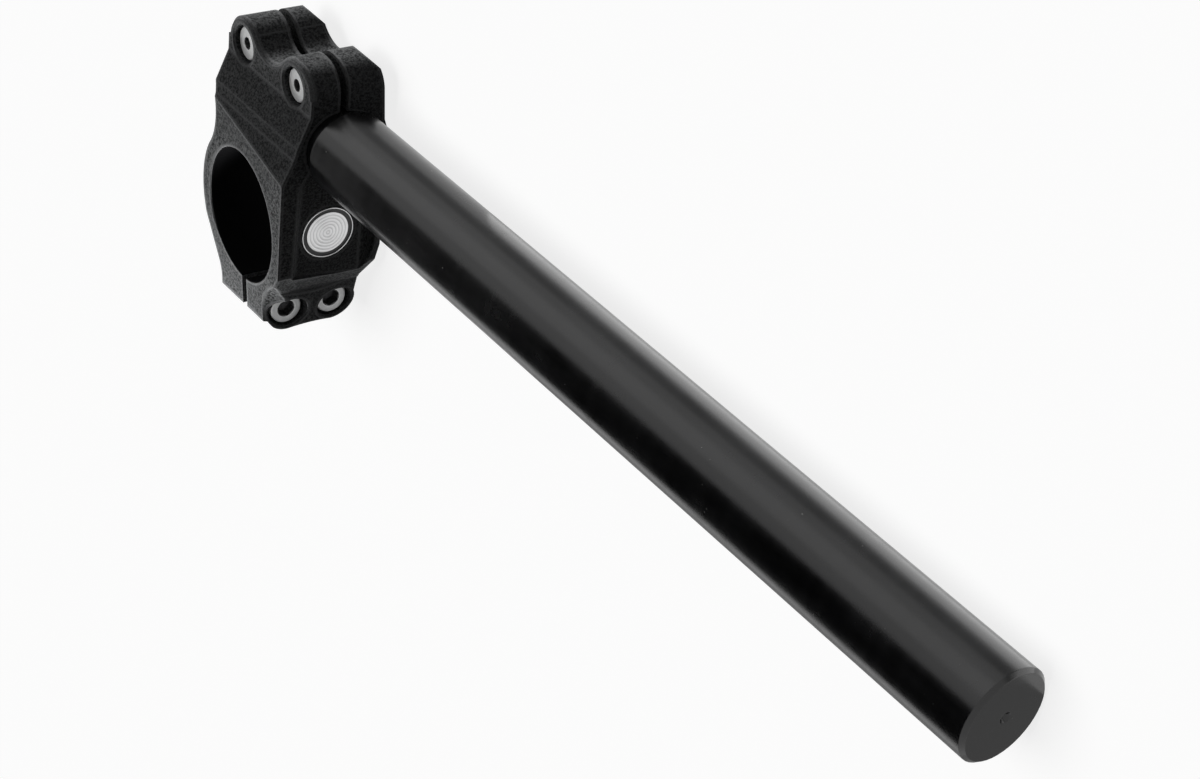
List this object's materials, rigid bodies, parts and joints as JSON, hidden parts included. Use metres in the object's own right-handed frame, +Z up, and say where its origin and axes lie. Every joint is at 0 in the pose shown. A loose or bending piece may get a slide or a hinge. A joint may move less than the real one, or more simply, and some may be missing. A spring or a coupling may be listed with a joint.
{
  "type": "clip-on handlebar",
  "caption": "One-sided clip-on handlebar: a machined split clamp grips a fork tube and holds a straight round bar at a slight downward angle, closed by socket head screws",
  "frame": {"origin": "on the axis of the fork bore, at the mid height of the ring", "axes": "+Z up the fork tube, toward the side where the bar clamp screws have their heads; +X outboard, the way the bar runs; +Y from the fork axis toward the bar"},
  "size_m": [0.3209, 0.0902, 0.0499],
  "materials": {
    "clamp_body": "fine blasted, black anodised",
    "bar": "turned, satin black anodised",
    "screw": "bright zinc plated",
    "badge": "satin silver with a turned ring"
  },
  "bodies": {
    "root": {"clamp_body": "clamp_body", "bar": "bar", "bar_screw_inboard": "screw", "bar_screw_outboard": "screw", "pinch_screw_upper": "screw", "pinch_screw_lower": "screw", "badge": "badge"}
  },
  "joints": []
}
